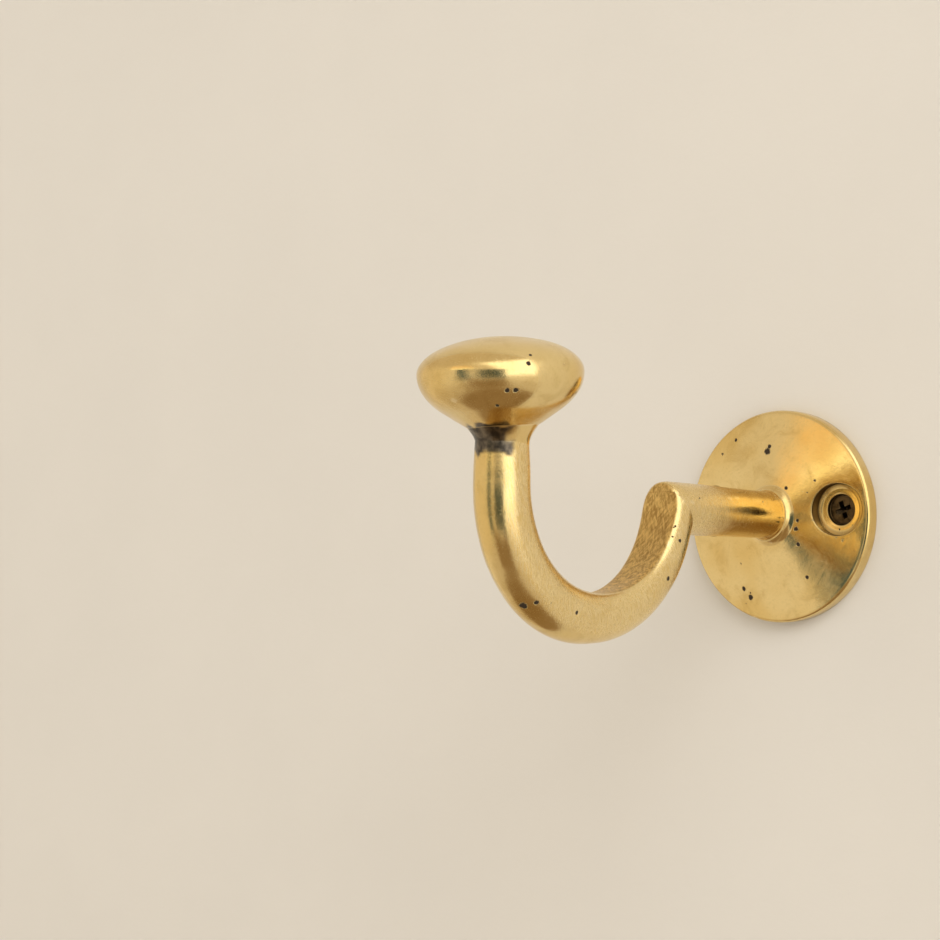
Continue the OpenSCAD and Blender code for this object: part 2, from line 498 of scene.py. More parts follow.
def brass(name, places=(), satin=0.0, pit_share=0.05, pale=0.0):
    """Old cast brass: polished by hand, with tarnish film, fine scratches, casting pits and worn edges.

    satin is how much of the surface is left brushed, and pale mixes in a paler, coarser metal, as in
    braze. The mesh's own values add the cross-filed face ("filed"), the emeried sides with a paler
    painted sheen ("sides"), the burnt braze at the neck ("burnt"), and the painted shade in the plate's
    screw holes with its tarnished back; a mesh without them reads as 0.
    """
    material, tree, shader, where = new_material(name)
    broad = noise(tree, where, 14.0, 2.0)
    cloud = noise(tree, where, 5.0, 5.0, 0.6, 0.6)
    fine = noise(tree, where, 0.9, 4.0)
    colour = blend_colour(tree, remap(tree, broad, 0.35, 0.65), BRASS_LIGHT, BRASS_GOLD)
    film = times(tree, remap(tree, cloud, 0.48, 0.72), 0.4)
    colour = blend_colour(tree, film, colour, BRASS_DEEP)
    speckle = noise(tree, where, 0.55, 5.0, 0.75)
    colour = blend_colour(tree, remap(tree, speckle, 0.50, 0.78, 0.0, 0.40), colour, BRASS_DEEP)
    colour = blend_colour(tree, pale, colour, BRASS_PALE)
    rough = remap(tree, cloud, 0.3, 0.75, 0.09, 0.18)
    rough = calc(tree, "ADD", rough, times(tree, remap(tree, fine, 0.4, 0.7), 0.06))

    # Hair-fine scratches in two directions, and the faint swirls of a polishing rag
    hair_a = noise(tree, stretched(tree, where, (1.0, 16.0, 1.0), (0.3, 0.2, 0.9)), 0.18, 2.0)
    hair_b = noise(tree, stretched(tree, where, (20.0, 1.0, 1.0), (0.9, 0.4, 0.2)), 0.22, 2.0)
    hairs = calc(tree, "ADD", remap(tree, hair_a, 0.60, 0.72), remap(tree, hair_b, 0.62, 0.74))
    rough = calc(tree, "ADD", rough, times(tree, hairs, 0.06 + 0.1 * satin))
    swirl = noise(tree, stretched(tree, where, (1.0, 1.0, 3.0), (0.0, 0.6, 0.0)), 4.0, 2.0, 0.5, 1.6)

    # Brushed patches
    brush = noise(tree, stretched(tree, where, (1.0, 2.5, 1.0), (0.0, 0.0, 0.35)), 0.5, 4.0, 0.7)
    patch = times(tree, remap(tree, noise(tree, where, 9.0, 2.0), 0.38, 0.60), satin)
    rough = blend_value(tree, patch, rough, 0.34)
    normal = bump(tree, swirl, 0.25, 0.08)
    normal = bump(tree, hairs, 0.25, 0.006, normal)
    normal = bump(tree, brush, calc(tree, "ADD", times(tree, patch, 0.8), 0.08), 0.06, normal)

    # Cross-filed face: short golden and brown strokes. Emeried sides: a fine satin grain, with a paler tone
    # painted on as sheen.
    face = value_of(tree, "filed")
    sides = value_of(tree, "sides")
    leaning = [
        noise(tree, stretched(tree, where, (5.0, 1.0, 1.0), turn), size_mm, 3.0, 0.65, 0.6)
        for size_mm, turn in ((0.55, (0.0, -0.86, 0.57)), (0.48, (0.0, -1.08, 2.25)))
    ]
    strokes = times(tree, calc(tree, "ADD", *leaning), 0.5)
    emery = noise(tree, stretched(tree, where, (1.0, 1.0, 7.0), (0.25, 0.0, 0.0)), 0.28, 3.0, 0.65)
    worn = blend_colour(tree, remap(tree, strokes, 0.37, 0.63), FILED_BROWN, FILED_GOLD)
    colour = blend_colour(tree, times(tree, face, 0.9), colour, worn)
    rough = blend_value(tree, face, rough, 0.40)
    rough = blend_value(tree, sides, rough, remap(tree, emery, 0.3, 0.7, 0.20, 0.32))
    # Painted sheen: a paler satin tone on the sides stands in for a bright highlight.
    satin_sheen_tone = blend_colour(tree, remap(tree, emery, 0.32, 0.60), BRASS_GOLD, BRASS_SATIN_SHEEN)
    colour = blend_colour(tree, times(tree, sides, 0.6), colour, satin_sheen_tone)
    normal = bump(tree, strokes, times(tree, face, 0.8), 0.14, normal)
    normal = bump(tree, emery, times(tree, sides, 0.8), 0.03, normal)

    # Casting pits, in loose groups and at the larger marks
    grouped = remap(tree, noise(tree, where, 11.0, 1.0), 0.47, 0.60)
    small_shift, large_shift = 0.013, 0.031
    holes = times(tree, pits(tree, where, 1.5, pit_share * 2.5, small_shift), grouped)
    holes = calc(tree, "MAXIMUM", holes, pits(tree, where, 2.4, pit_share * 0.6, large_shift))
    if places:
        holes = calc(tree, "MAXIMUM", holes, marks(tree, where, places))
    colour = blend_colour(tree, holes, colour, PIT_DARK)
    rough = blend_value(tree, holes, rough, 0.7)
    sunk = calc(tree, "SUBTRACT", 1.0, holes)
    normal = bump(tree, sunk, 0.9, 0.12, normal)

    # Burnt braze: dark grey skin, glossy and full of small pits
    burnt = value_of(tree, "burnt")
    skin = noise(tree, where, 1.8, 4.0, 0.6, 0.3)
    burnt_tone = blend_colour(tree, remap(tree, skin, 0.35, 0.75), BURNT_DARK, BURNT_GREY)
    colour = blend_colour(tree, burnt, colour, burnt_tone)
    rough = blend_value(tree, burnt, rough, 0.24)
    normal = bump(tree, skin, times(tree, burnt, 0.5), 0.08, normal)

    # Edges rubbed bright; concave places, the painted shade of the plate's screw holes and its tarnished
    # back darker brown
    edges = node(tree, "NewGeometry").outputs["Pointiness"]
    rubbed = times(tree, remap(tree, edges, 0.53, 0.60), calc(tree, "SUBTRACT", 1.0, face))
    hollow = calc(tree, "MAXIMUM", remap(tree, edges, 0.47, 0.40), value_of(tree, "hole_shade_and_tarnish"))
    colour = blend_colour(tree, times(tree, rubbed, 0.6), colour, BRASS_PALE)
    colour = blend_colour(tree, times(tree, hollow, 0.75), colour, BRASS_BROWN)
    # Painted shade: the plate's screw holes darkened further to near black; the back gets a lighter share of
    # this as tarnish.
    hole_shade_and_tarnish_dark = times(tree, value_of(tree, "hole_shade_and_tarnish"), 0.7)
    colour = blend_colour(tree, hole_shade_and_tarnish_dark, colour, PIT_DARK)
    rough = blend_value(tree, times(tree, hollow, 0.6), rough, 0.5)

    finish_material(tree, shader, colour, rough, normal, blend_value(tree, holes, 1.0, 0.2))
    return material


def screw_metal(name):
    """Bronzed screw: a dark skin, worn to bare metal along its edges and thread crests."""
    material, tree, shader, where = new_material(name)
    cloud = noise(tree, where, 1.6, 4.0, 0.6, 0.4)
    grain = noise(tree, where, 0.25, 3.0)
    colour = blend_colour(tree, remap(tree, cloud, 0.35, 0.65), SCREW_DARK, SCREW_BROWN)
    edges = node(tree, "NewGeometry").outputs["Pointiness"]
    bare = times(tree, remap(tree, edges, 0.53, 0.62), remap(tree, grain, 0.25, 0.6, 0.5, 1.0))
    colour = blend_colour(tree, bare, colour, SCREW_BARE)
    crumbs = remap(tree, noise(tree, where, 0.5, 3.0), 0.62, 0.72)
    colour = blend_colour(tree, times(tree, crumbs, 0.7), colour, PIT_DARK)
    rough = remap(tree, cloud, 0.3, 0.7, 0.30, 0.52)
    normal = bump(tree, grain, 0.5, 0.02)
    normal = bump(tree, cloud, 0.4, 0.05, normal)
    finish_material(tree, shader, colour, rough, normal, 1.0)
    return material


# ---- Wall plate ----
def cone_out(radius):
    return CROWN_OUT - (radius - BAR_R) * math.tan(CONE)


def circle(x, y, radius, count):
    return [(x + radius * math.cos(a), y + radius * math.sin(a)) for a in angles(count)]


def plate_face_out(x, y):
    """How far the plate's front stands out at a place, with the slight unevenness of hand finishing."""
    radius = np.hypot(x, y)
    base = cone_out(np.minimum(radius, CONE_END_R))
    points = place(x, 0.0 * radius, y)
    quiet = fade(CONE_END_R - radius, 0.0, 2.5)
    return base + ripple(points, 11.0, 0.035, SEED) * quiet


def add_patch(shell, xy, triangles, out):
    shell.add(place(xy[:, 0], out, xy[:, 1]), triangles)


def hole_wall(shell, x, y):
    """The stepped screw hole: rounded lip, counterbore, dished floor, head bore, seat and shank hole."""
    turn = angles()
    rings = []

    def ring(radius, out):
        rings.append(flat_ring(x, y, radius, out, turn))

    lip_steps = 7
    for i in range(lip_steps + 1):
        t = math.pi / 2 * i / lip_steps
        radius = MOUTH_R + LIP_R * (1 - math.sin(t))
        px, py = x + radius * np.cos(turn), y + radius * np.sin(turn)
        ring(radius, plate_face_out(px, py) - LIP_R * (1 - math.cos(t)))
    mouth_out = plate_face_out(x + MOUTH_R * np.cos(turn), y + MOUTH_R * np.sin(turn)) - LIP_R
    corner_out = FLOOR_OUT + FLOOR_CORNER
    ring(MOUTH_R, (mouth_out + corner_out) / 2)
    ring(MOUTH_R, corner_out)
    ring(MOUTH_R - 0.28 * FLOOR_CORNER, FLOOR_OUT + 0.32 * FLOOR_CORNER)
    ring(MOUTH_R - FLOOR_CORNER, FLOOR_OUT)

    # A narrow flat band, a small step down, and a dished floor that slopes to the head's bore
    step_r = MOUTH_R - FLOOR_BAND
    step_out = FLOOR_OUT - FLOOR_STEP
    floor_foot = FLOOR_OUT - FLOOR_DISH
    ring(step_r + FLOOR_STEP / 2, FLOOR_OUT - 0.02)
    ring(step_r - FLOOR_STEP / 2, step_out)
    for t in (0.35, 0.7):
        ring(step_r + (HEAD_BORE_R + 0.2 - step_r) * t, step_out + (floor_foot - step_out) * t)
    for wider, lower in HEAD_BORE_LIP:
        ring(HEAD_BORE_R + wider, floor_foot - lower)
    bore_top = floor_foot - HEAD_BORE_LIP[-1][1]
    seat_top = SEAT_OUT + HEAD_BORE_R - SHANK_HOLE_R
    for t in (0.33, 0.66, 1.0):
        ring(HEAD_BORE_R, bore_top + (seat_top - bore_top) * t)
    ring(SHANK_HOLE_R, SEAT_OUT)
    ring(SHANK_HOLE_R, 0.0)
    shell.add_rings(rings)


def plate_rim(shell):
    """The rounded front edge, the rim and the small bevel at the back."""
    turn = angles(RIM_ROUND)
    edge_steps = 9
    start = math.pi / 2 - CONE
    centre_out = cone_out(CONE_END_R) - RIM_EDGE_R * math.sin(start)
    levels = []
    for i in range(edge_steps + 1):
        t = start * (1 - i / edge_steps)
        radius = PLATE_R - RIM_EDGE_R + RIM_EDGE_R * math.cos(t)
        levels.append((radius, centre_out + RIM_EDGE_R * math.sin(t)))
    corner = 0.28 * BACK_EDGE
    levels += [(PLATE_R, centre_out / 2), (PLATE_R, BACK_EDGE), (PLATE_R - corner, corner)]
    levels.append((PLATE_R - BACK_EDGE, 0.0))
    shell.add_rings([flat_ring(0.0, 0.0, radius, out, turn) for radius, out in levels])


def plate_sheet(shell, radius, hole_r, bore, spacing, margins, out_at):
    """A face of the plate, with its two screw holes and the spigot's bore.

    margins are how far the sheet's loose points stay from the screw holes, the bore and the rim.
    """
    from_hole, from_bore, from_rim = margins

    def on_face(x, y):
        clear = all(math.hypot(x - hx, y - hy) > hole_r + from_hole for hx, hy in HOLES)
        return SPIGOT_R + from_bore < math.hypot(x, y) < radius - from_rim and clear

    outer = circle(0, 0, radius, RIM_ROUND)
    holes = [circle(x, y, hole_r, ROUND) for x, y in HOLES]
    xy, triangles = sheet_with_holes(outer, holes + [bore], spacing, on_face)
    add_patch(shell, xy, triangles, out_at(xy[:, 0], xy[:, 1]))


def wall_plate(material):
    """The coned round plate with its two stepped screw holes and the bore for the post's spigot."""
    shell = Shell()
    bore = circle(0, 0, SPIGOT_R, BORE_ROUND)
    fine, coarse = 0.45, 1.2
    front_margins = (0.6 * fine, 0.3, 0.6 * fine)
    plate_sheet(shell, CONE_END_R, MOUTH_R + LIP_R, bore, fine, front_margins, plate_face_out)
    for x, y in HOLES:
        hole_wall(shell, x, y)
    plate_rim(shell)
    bore_x, bore_y = np.array(bore).T
    bore_out = plate_face_out(bore_x, bore_y)
    shell.add_rings([place(bore_x, bore_out, bore_y), place(bore_x, 0.0, bore_y)])
    back_r = PLATE_R - BACK_EDGE
    plate_sheet(shell, back_r, SHANK_HOLE_R, bore, coarse, (0.6, 0.6, 0.55), lambda x, y: 0.0)
    points, faces = shell.welded()
    hole_shade_and_tarnish = plate_hole_shade_and_tarnish(points)
    make_piece("wall_plate", points, faces, material, "hook", "back_plate", {"hole_shade_and_tarnish": hole_shade_and_tarnish})


def plate_hole_shade_and_tarnish(points):
    """Painted shade in the screw holes: dark in the head's bore, a painted shadow mostly on the upper left
    of the counterbore's wall, and lighter shade round the floor's outer band; and a tarnished back.
    """
    front = points[:, 1] < -0.01
    hole_shade_and_tarnish = np.zeros(len(points))
    for x, y in HOLES:
        aside, up = points[:, 0] - x, points[:, 2] - y
        away = np.hypot(aside, up)
        # Painted shade: the head's bore dark, a painted shadow on the upper left of the counterbore's wall,
        # and lighter shade in the floor's outer corner.
        bore = fade(away, HEAD_BORE_R + 0.14, HEAD_BORE_R + 0.02)
        upper_left = (up - aside) / np.maximum(away, 0.1) / math.sqrt(2)
        wall = fade(away, MOUTH_R + 0.05, MOUTH_R + 0.01) * fade(away, MOUTH_R - 0.3, MOUTH_R - 0.1)
        wall = wall * fade(upper_left, -0.3, 0.5)
        corner = fade(away, MOUTH_R - 0.9, MOUTH_R - 0.5) * 0.4
        in_hole = (away < MOUTH_R + 0.1) * front
        hole_shade_and_tarnish = np.maximum(hole_shade_and_tarnish, np.maximum(bore, np.maximum(wall, corner)) * in_hole)
    return np.where(front, hole_shade_and_tarnish, BACK_TARNISH)


def burnt_amount(points):
    """How burnt the braze skin is at each point: a ragged patch on the outer side of the neck."""
    facing = np.arctan2(points[:, 0], -points[:, 1] - FRONT_OUT)
    up = points[:, 2]
    ragged = ripple(points, 3.5, 0.5, SEED + 6) + ripple(points, 1.6, 0.15, SEED + 7)
    round_it = fade(np.cos(facing - BURNT_TURN) + 0.25 * ragged, 0.42, 0.62)
    over_foot = fade(up + ragged, BURNT_FOOT - 0.35, BURNT_FOOT + 0.35)
    under_top = fade(-up + ragged, -BURNT_TOP - 0.25, -BURNT_TOP + 0.25)
    return round_it * over_foot * under_top


# ---- Post, elbow and arm ----
# In the side view a point has "out" and "up"; theta runs round the bar
# from the side that faces the inside of the bend.
ACROSS = np.array([math.cos(MITRE), math.sin(MITRE)])
ALONG = np.array([math.sin(MITRE), -math.cos(MITRE)])
ELBOW = np.array([ELBOW_OUT, POST_RISE])


def post_middle(out):
    return POST_RISE * np.minimum(out / ELBOW_OUT, 1)


def post_radius(out):
    return BAR_R - POST_THIN * (1 - fade(out, CROWN_OUT, ELBOW_OUT - 4))


def keep_off_palm(out, up):
    """Moves points out of the hollow filed round the inside of the bend; also says where it was filed."""
    dx, dy = out - PALM_OUT, up - BEND_UP
    away = np.hypot(dx, dy)
    kept = smooth_max(away, PALM_R, PALM_EDGE)
    filed = fade(PALM_R - away, -0.15, 0.25)
    return PALM_OUT + dx * kept / away, BEND_UP + dy * kept / away, filed


def palm_face_out(up):
    return PALM_OUT - np.sqrt(PALM_R ** 2 - (up - BEND_UP) ** 2)


def mitre_out(up):
    return ELBOW_OUT + (up - POST_RISE) * ACROSS[0] / ACROSS[1]


def ridge_shift(distance, theta):
    """How far the elbow's dressed outer corner is drawn in along the mitre, at a distance from the joint."""
    near = np.clip(1 - distance / ELBOW_ROUND, 0, 1)
    return ELBOW_ROUND / 2 * ACROSS[0] * near ** 2 * np.clip(2 * np.cos(theta), 0, 1)


def post_rings(theta):
    """Rings of the post from its spigot's end at the wall to the middle of its mitred end."""
    cosine, sine = np.cos(theta), np.sin(theta)
    rings = []
    start = CROWN_OUT - POST_SUNK
    for radius, out in ((SPIGOT_R - SPIGOT_BEVEL, 0.0), (SPIGOT_R, 0.8 * SPIGOT_BEVEL), (SPIGOT_R, start)):
        rings.append(place(radius * sine, out, radius * cosine))
    half_seam = SEAM / 2 / ACROSS[1]
    end = mitre_out(POST_RISE + BAR_R * cosine) - half_seam
    rows = int((ELBOW_OUT - start) / STEP)
    for i in range(rows + 1):
        along = start + (end - start) * i / rows
        radius = post_radius(along)
        shift = ridge_shift(end - along, theta)
        up = post_middle(along) + radius * cosine - ACROSS[1] * shift
        uncut = along - ACROSS[0] * shift
        out = smooth_min(uncut, palm_face_out(up), PALM_EDGE)
        rounding = np.minimum(uncut, palm_face_out(up)) - out
        up = up - rounding * ACROSS[1] / ACROSS[0] * fade(along, end - 1.5, end)
        rings.append(place(radius * sine, out, up))
    edge_aside, edge_up = rings[-1][:, 0], rings[-1][:, 2]
    face_steps = 30
    for i in range(1, face_steps):
        up = edge_up + (POST_RISE - edge_up) * i / face_steps
        out = np.minimum(mitre_out(up) - half_seam, palm_face_out(up))
        rings.append(place(edge_aside * (1 - i / face_steps), out, up))
    return np.array(rings)


def post(material):
    theta = angles()
    rings = post_rings(theta)
    points, faces = closed_skin(rings)
    out, up = -points[:, 1], points[:, 2]
    away = np.hypot(out - PALM_OUT, up - BEND_UP)
    filed = fade(-np.abs(away - PALM_R), -0.5, -0.1) * fade(out, ELBOW_OUT - 2, ELBOW_OUT + 1)
    sides = fade(out, ELBOW_OUT - 19, ELBOW_OUT - 9) * (1 - filed)
    points[:, 0] += ripple(points, 9.0, 0.02, SEED + 1)
    make_piece(
        "bar_post", points, faces, material, "hook", "post",
        {"filed": filed, "sides": sides}, crisp=50,
    )


def seam_outline(theta):
    """Where the bar's surface crosses the mitre: distances along the mitre and aside."""
    across = BAR_R * np.cos(theta) / ACROSS[1] - ridge_shift(0.0, theta)
    limit = across.max()
    for _ in range(40):
        point = ELBOW + ACROSS * limit
        gap = PALM_R - math.hypot(point[0] - PALM_OUT, point[1] - BEND_UP)
        if gap <= 0:
            break
        limit -= gap * 0.5
    return smooth_min(across, limit, PALM_EDGE / ACROSS[0]), BAR_R * np.sin(theta)


def arm_path(rho, phi, drawn_in):
    """A point on the bent bar at its own radius and angle round the bend, kept off the filed hollow."""
    out = BEND_OUT + rho * np.cos(phi) - ACROSS[0] * drawn_in
    up = BEND_UP + rho * np.sin(phi) - ACROSS[1] * drawn_in
    return keep_off_palm(out, up)


def front_bulge(phi, cosine):
    """How much fuller the outside of the bend is on its front quarter."""
    return FRONT_BULGE * np.maximum(-np.sin(2 * phi), 0) * (phi > 1.5 * math.pi) * (1 - cosine) / 2


def arm_start(rho, drawn_in):
    """The angle at which each line along the bar leaves the elbow's joint."""
    low = np.full_like(rho, math.radians(150))
    high = np.full_like(rho, math.radians(240))
    for _ in range(40):
        middle = (low + high) / 2
        out, up, _ = arm_path(rho, middle, drawn_in)
        side = (out - ELBOW[0]) * ALONG[0] + (up - ELBOW[1]) * ALONG[1]
        before = side < SEAM / 2
        low = np.where(before, middle, low)
        high = np.where(before, high, middle)
    return (low + high) / 2


def arm_rings(theta):
    """Rings of the bent bar round the U, up the front leg and along the tenon, and where it was filed."""
    cosine, sine = np.cos(theta), np.sin(theta)
    rho = BEND_R - BAR_R * cosine
    start = arm_start(rho, ridge_shift(0.0, theta))
    rows = int(math.pi * BEND_R / STEP)
    rings, filed_rows = [], []
    across, _ = seam_outline(theta)
    joint = ELBOW[:, None] + ACROSS[:, None] * across + ALONG[:, None] * SEAM / 2
    first_out, first_up, _ = arm_path(rho, start, ridge_shift(0.0, theta))
    move_out, move_up = joint[0] - first_out, joint[1] - first_up
    for i in range(rows + 1):
        phi = start + (2 * math.pi - start) * i / rows
        shift = ridge_shift(rho * (phi - start), theta)
        out, up, filed = arm_path(rho + front_bulge(phi, cosine), phi, shift)
        stay = 1 - fade(phi - start, 0.0, SEAM_FADE)
        rings.append(place(BAR_R * sine, out + move_out * stay, up + move_up * stay))
        filed_rows.append(filed * (1 - fade(phi, *FILED_END)))

    leg = []
    leg_rows = int((ARM_TOP - BEND_UP) / STEP)
    for i in range(1, leg_rows + 1):
        radius = BAR_R - NECK_TAPER * fade(i / leg_rows, 0.0, 1.0)
        leg.append((radius, BEND_UP + (ARM_TOP - BEND_UP) * i / leg_rows))
    tenon_end = ARM_TOP + TENON_L
    leg += [(TENON_R, ARM_TOP), (TENON_R, tenon_end - TENON_BEVEL), (TENON_R - TENON_BEVEL, tenon_end)]
    for radius, up in leg:
        rings.append(place(radius * sine, FRONT_OUT - radius * cosine, up))
        filed_rows.append(np.zeros_like(theta))
    return np.array(rings), np.array(filed_rows)


def arm(material):
    """The bent bar from the elbow round the U and up the front leg, with its tenon."""
    theta = angles()
    rings, filed_rows = arm_rings(theta)
    points, faces = closed_skin(rings)
    end_points = [0.0, 0.0]
    filed = np.append(filed_rows.ravel(), end_points)
    facing = np.tile(np.abs(np.sin(theta)), len(rings))
    sides = np.append(fade(facing, 0.45, 0.9), end_points) * (1 - filed)
    points[:, 0] += ripple(points, 9.0, 0.03, SEED + 2)
    burnt = burnt_amount(points)
    make_piece(
        "bar_arm", points, faces, material, "hook", "arm",
        {"filed": filed, "sides": sides * (1 - burnt), "burnt": burnt}, crisp=50,
    )


def elbow_seam(material):
    """The thin film of braze between the post and the arm."""
    theta = angles()
    across, aside = seam_outline(theta)
    rings = []
    for scale, side in ((0.02, -1), (1.0, -1), (1.0, 1), (0.02, 1)):
        shift = ALONG * side * SEAM / 2
        point = ELBOW[:, None] + ACROSS[:, None] * across * scale + shift[:, None]
        rings.append(place(aside * scale, point[0], point[1]))
    points, faces = closed_skin(np.array(rings))
    values = {"filed": np.ones(len(points))}
    make_piece("elbow_seam", points, faces, material, "hook", "elbow_braze", values)


# ---- Knob and the braze rings ----
def lean(points):
    """Tips the knob outwards, about the top of the arm."""
    middle = np.array([0.0, -FRONT_OUT, ARM_TOP])
    turn = np.array(Matrix.Rotation(KNOB_LEAN, 3, "X"))
    return (points - middle) @ turn.T + middle


def knob_outline():
    """The knob's outline as (radius, height above the widest circle), from the socket round to the crown."""
    belly_end = math.pi / 4
    cone_foot_r = KNOB_R * math.cos(belly_end)
    cone_foot = -KNOB_BELLY * math.sin(belly_end)
    slope = KNOB_R / KNOB_BELLY
    neck_up = cone_foot - (cone_foot_r - NECK_R) / slope
    socket_r = TENON_R + 0.05
    outline = [(socket_r, neck_up + TENON_L + 0.3), (socket_r, neck_up), (NECK_R - 0.1, neck_up)]
    cone_steps, belly_steps, crown_steps = 16, 26, 44
    for i in range(cone_steps):
        t = i / cone_steps
        outline.append((NECK_R + (cone_foot_r - NECK_R) * t, neck_up + (cone_foot - neck_up) * t))
    for i in range(belly_steps):
        a = -belly_end * (1 - i / belly_steps)
        outline.append((KNOB_R * math.cos(a), KNOB_BELLY * math.sin(a)))
    for i in range(crown_steps):
        a = math.pi / 2 * i / crown_steps
        outline.append((KNOB_R * math.cos(a), KNOB_CROWN * math.sin(a)))
    return outline


def knob(material):
    turn = angles(160)
    rings = []
    for radius, height in knob_outline():
        rings.append(place(radius * np.cos(turn), FRONT_OUT + radius * np.sin(turn), KNOB_UP + height))
    points, faces = closed_skin(np.array(rings))
    middle = np.array([0.0, -FRONT_OUT, KNOB_UP])
    away = points - middle
    outward = away / np.maximum(np.linalg.norm(away, axis=1, keepdims=True), 1e-6)
    shown = fade(np.hypot(away[:, 0], away[:, 1]), NECK_R, NECK_R + 3)
    points += outward * (ripple(points, 12.0, 0.06, SEED + 3) * shown)[:, None]
    make_piece(
        "knob_body", lean(points), faces, material, "hook", "knob",
        {"burnt": burnt_amount(points)}, crisp=50,
    )


def hollow_ring(inner_r, width, height, base, wander):
    """Rings of a fillet with a hollow face round a bar: (radius, distance along the bar) per angle.

    base(radius) is how far the other side has moved along the bar at that radius.
    """
    turn = angles()
    chance = np.random.default_rng(SEED + 4)
    swell = np.zeros(ROUND)
    for wave in range(1, 6):
        swell += np.cos(wave * turn + chance.uniform(0, 2 * math.pi)) / wave
    swell = 1 + wander * swell
    rings = []
    steps = 12
    for i in range(steps + 1):
        a = math.pi / 2 * i / steps
        radius = inner_r + width * swell * (1 - math.sin(a))
        along = base(radius) * (1 - math.sin(a)) + height * swell * (1 - math.cos(a))
        rings.append((radius, along))
    sunk = 0.12
    rings.append((np.full(ROUND, inner_r - sunk), height * swell * 0.9))
    rings.append((np.full(ROUND, inner_r - sunk), np.zeros(ROUND)))
    foot = inner_r + width * swell * 0.9
    rings.append((foot, base(foot) - sunk * np.sign(height)))
    return turn, rings


def plate_solder(material):
    """The braze round the foot of the post."""
    inner = BAR_R - POST_THIN
    turn, rings = hollow_ring(inner, ROOT_W + POST_THIN, ROOT_H, lambda r: cone_out(r) - CROWN_OUT, 0.10)
    shaped = []
    for radius, along in rings:
        out = CROWN_OUT + along
        shaped.append(place(radius * np.cos(turn), out, radius * np.sin(turn) + post_middle(out)))
    points, faces = looped_skin(np.array(shaped))
    make_piece("post_root_braze", points, faces, material, "hook", "plate_braze", crisp=60)


def neck_solder(material):
    """The braze under the knob: burnt and pitted on the outer side, dressed smooth towards the wall."""
    slope = KNOB_BELLY / KNOB_R
    height = neck_ring_low[2] - ARM_TOP
    turn, rings = hollow_ring(NECK_R, NECK_RING_W, height, lambda r: (r - NECK_R) * slope, 0.12)
    shaped = []
    for radius, along in rings:
        shaped.append(place(radius * np.cos(turn), FRONT_OUT + radius * np.sin(turn), ARM_TOP + along))
    points, faces = looped_skin(np.array(shaped))
    make_piece(
        "neck_braze_ring", lean(points), faces, material, "hook", "neck_braze",
        {"burnt": burnt_amount(points)}, crisp=60,
    )


# ---- Screws ----
def cross_outline(span, slot, turn):
    """The twelve corners of a cross recess."""
    long, short = span / 2, slot / 2
    corners = []
    for quarter in range(4):
        a = turn + quarter * math.pi / 2
        for along, aside in ((long, -short), (long, short), (short, short)):
            corners.append((
                along * math.cos(a) - aside * math.sin(a),
                along * math.sin(a) + aside * math.cos(a),
            ))
    return corners


def screw_face(shell, x, y, turn, face_r):
    """The flat top of a screw's head with its cross recess, which narrows towards a pointed floor."""
    rim = circle(0, 0, face_r, SCREW_ROUND)
    cross = cross_outline(CROSS_SPAN, CROSS_SLOT, turn)
    face_out = SCREW_HEAD_OUT

    def on_face(px, py):
        c, s = math.cos(-turn), math.sin(-turn)
        u, v = abs(px * c - py * s), abs(px * s + py * c)
        in_cross = min(u, v) < 0.7 and max(u, v) < 2.05
        return math.hypot(px, py) < face_r - 0.15 and not in_cross

    xy, triangles = sheet_with_holes(rim, [cross], 0.35, on_face)
    add_patch(shell, xy + [x, y], triangles, face_out)
    corners = np.array(cross)
    walls = [
        place(x + corners[:, 0] * scale, face_out - depth, y + corners[:, 1] * scale)
        for scale, depth in ((1.0, 0.0), (0.93, 0.3), (0.45, CROSS_DEPTH))
    ]
    shell.add_rings(walls)
    shell.add_fan(walls[-1], place(x, face_out - CROSS_DEPTH - 0.2, y))


def screw_thread(x, y, around, thread_start):
    """Rings of the helical wood thread, from the plain shank to the point."""
    rings = []
    steps_per_turn = 16
    length = thread_start - SCREW_TIP_OUT
    rows = int(length / THREAD_PITCH * steps_per_turn)
    for i in range(1, rows + 1):
        along = length * i / rows
        phase = (along / THREAD_PITCH + around / (2 * math.pi)) % 1.0
        crest = np.clip(1 - np.abs(phase - 0.5) * 3.0, 0, 1)
        ease = fade(along, 0.0, THREAD_PITCH)
        taper = min(1.0, (length - along) / TIP_L)
        core = (CORE_R - THREAD_DEPTH * ease) * taper
        radius = np.maximum(core + THREAD_DEPTH * ease * crest * min(1.0, taper * 1.6), 0.02)
        rings.append(flat_ring(x, y, radius, thread_start - along, around))
    return rings


def wall_screw(name, node_name, body, hole, turn, material):
    """A countersunk screw with a cross recess and a cut wood thread that ends in a point."""
    shell = Shell()
    x, y = hole
    face_r = HEAD_R - 0.12
    screw_face(shell, x, y, turn, face_r)

    face_out = SCREW_HEAD_OUT
    head_foot = face_out - HEAD_EDGE
    thread_start = face_out - PLAIN_L
    levels = [
        (face_r, face_out), (HEAD_R - 0.03, face_out - 0.04), (HEAD_R, head_foot),
        ((HEAD_R + SHANK_R) / 2, head_foot - (HEAD_R - SHANK_R) / 2),
        (SHANK_R, head_foot - (HEAD_R - SHANK_R)),
        (CORE_R, -0.3), (CORE_R, thread_start / 2), (CORE_R, thread_start),
    ]
    around = angles(SCREW_ROUND)
    rings = [flat_ring(x, y, radius, out, around) for radius, out in levels]
    rings += screw_thread(x, y, around, thread_start)
    shell.add_rings(rings)
    shell.add_fan(rings[-1], rings[-1].mean(axis=0))
    points, faces = shell.welded()
    make_piece(name, points, faces, material, body, node_name, crisp=35)


# ---- Stage: painted wall behind, pale floor below ----
def stage_sheet(name, points, faces, material):
    """A flat piece of the stage."""
    mesh = bpy.data.meshes.new(name)
    mesh.from_pydata(points, [], faces)
    mesh.materials.append(material)
    piece = bpy.data.objects.new(name, mesh)
    bpy.context.scene.collection.objects.link(piece)
    return piece


